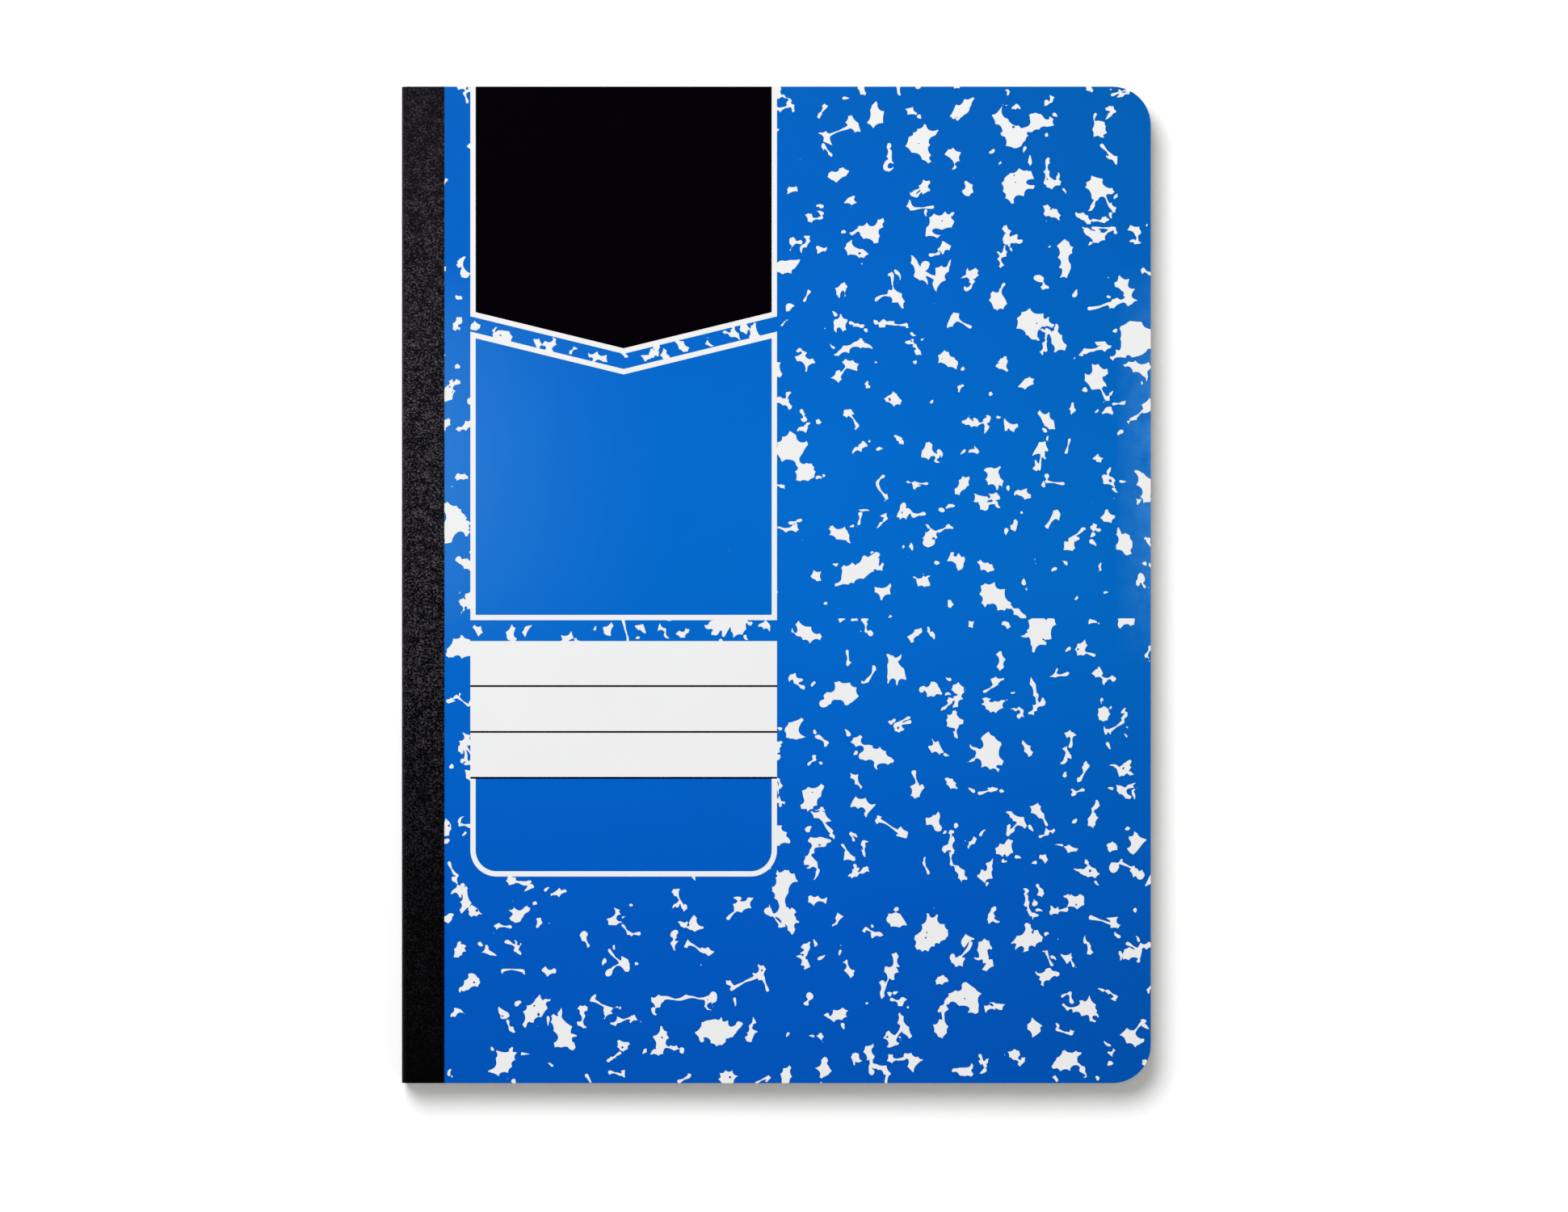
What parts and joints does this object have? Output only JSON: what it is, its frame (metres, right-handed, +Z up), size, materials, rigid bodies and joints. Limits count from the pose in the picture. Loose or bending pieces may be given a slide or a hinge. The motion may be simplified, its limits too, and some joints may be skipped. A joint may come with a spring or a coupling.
{
  "type": "composition notebook",
  "caption": "Sewn composition notebook with marbled board covers, a black cloth spine tape and a blank printed label, lying closed on its back cover.",
  "frame": {"origin": "middle of the footprint, on the surface that the closed book lies on", "axes": "+X from the spine to the fore-edge, +Y from the tail to the head of the front cover, +Z up out of the front cover"},
  "size_m": [0.1862, 0.2476, 0.011],
  "materials": {
    "page_paper": "uncoated white writing paper, matte",
    "endpaper": "smooth white paper, matte",
    "pasteboard": "grey pasteboard, matte cut edge",
    "cover_print": "blue print on coated paper, satin",
    "white_print": "white of the coated paper, satin",
    "black_print": "black print on coated paper, satin",
    "cloth_tape": "fine grained black book cloth, low sheen",
    "thread": "white cotton thread, matte"
  },
  "bodies": {
    "book_block": {"page_block": "page_paper", "sewing_thread": "thread", "spine_tape": "cloth_tape"},
    "front_cover": {"front_board": "pasteboard", "front_cover_paper": "cover_print", "front_endpaper": "endpaper", "front_tape_flap": "cloth_tape", "front_marbling": "white_print", "label_frames": "white_print", "label_banner": "black_print", "writing_panel": "white_print", "writing_lines_print": "black_print"},
    "back_cover": {"back_board": "pasteboard", "back_cover_paper": "cover_print", "back_endpaper": "endpaper", "back_tape_flap": "cloth_tape", "back_marbling": "white_print"}
  },
  "joints": [
    {"name": "front_cover_hinge", "type": "hinge", "parent": "book_block", "child": "front_cover", "pos_m": [-0.09255, 0, 0.00982], "axis": [0, -1, 0], "range_deg": [0, 180]},
    {"name": "back_cover_hinge", "type": "hinge", "parent": "book_block", "child": "back_cover", "pos_m": [-0.09255, 0, 0.00122], "axis": [0, 1, 0], "range_deg": [0, 180]}
  ]
}
